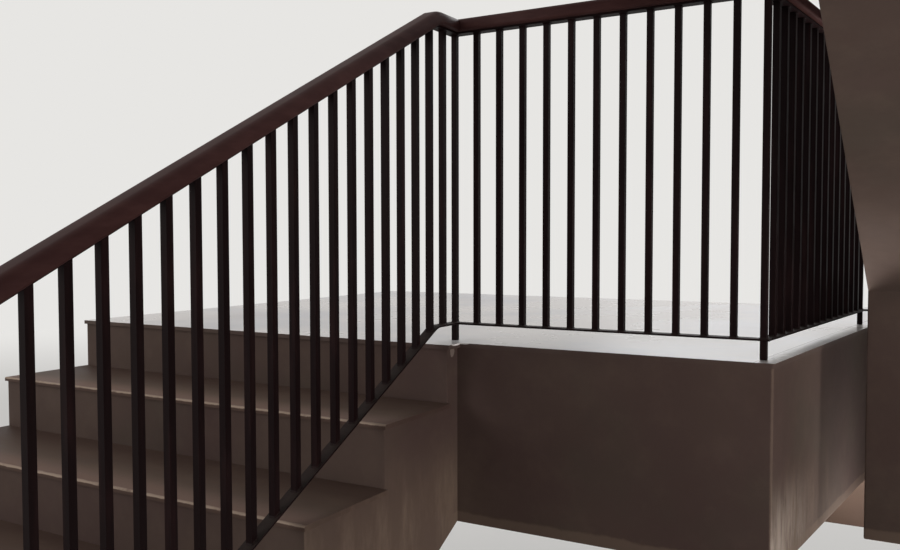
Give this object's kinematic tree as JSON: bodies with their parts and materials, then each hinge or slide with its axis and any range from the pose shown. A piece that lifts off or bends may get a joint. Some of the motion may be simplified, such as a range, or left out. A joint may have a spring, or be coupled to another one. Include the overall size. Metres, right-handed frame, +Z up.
{
  "type": "indoor concrete stair with a steel balustrade",
  "caption": "Concrete escape stair: lower flight, landing, upper flight and half landing round an open well, with a welded square-bar balustrade and a brown handrail.",
  "frame": {"origin": "middle of the edge that the landing slab has in the wall behind it, half way up the slab", "axes": "+Y square into that wall, +Z up, +X across the flights, from the lower flight to the upper one"},
  "size_m": [3.9554, 5.7311, 4.095],
  "materials": {
    "concrete": "brushed, dull warm grey-brown paint on concrete",
    "floor_finish": "polished pale floor",
    "tread_finish": "worn tread slabs with pale nosings",
    "steel": "semi-gloss near-black paint",
    "handrail": "satin reddish brown"
  },
  "bodies": {
    "root": {"lower_flight": "concrete", "lower_tread_1": "tread_finish", "lower_tread_2": "tread_finish", "lower_tread_3": "tread_finish", "lower_tread_4": "tread_finish", "lower_tread_5": "tread_finish", "lower_tread_6": "tread_finish", "lower_tread_7": "tread_finish", "landing_slab": "concrete", "landing_front_beam": "concrete", "landing_return_beam": "concrete", "landing_right_beam": "concrete", "landing_floor": "floor_finish", "upper_flight": "concrete", "upper_tread_1": "tread_finish", "upper_tread_2": "tread_finish", "upper_tread_3": "tread_finish", "upper_tread_4": "tread_finish", "upper_tread_5": "tread_finish", "upper_tread_6": "tread_finish", "upper_tread_7": "tread_finish", "upper_tread_8": "tread_finish", "upper_tread_9": "tread_finish", "upper_tread_10": "tread_finish", "upper_tread_11": "tread_finish", "half_landing_slab": "concrete", "half_landing_beam": "concrete", "half_landing_floor": "floor_finish", "lower_newel": "steel", "landing_post": "steel", "corner_post": "steel", "return_post": "steel", "upper_newel": "steel", "half_landing_post": "steel", "wall_post": "steel", "lower_panel": "steel", "landing_panel": "steel", "return_panel": "steel", "link_panel": "steel", "upper_panel": "steel", "half_landing_panel": "steel", "lower_handrail": "handrail", "landing_handrail": "handrail", "return_handrail": "handrail", "upper_handrail": "handrail", "half_landing_handrail": "handrail"}
  },
  "joints": []
}
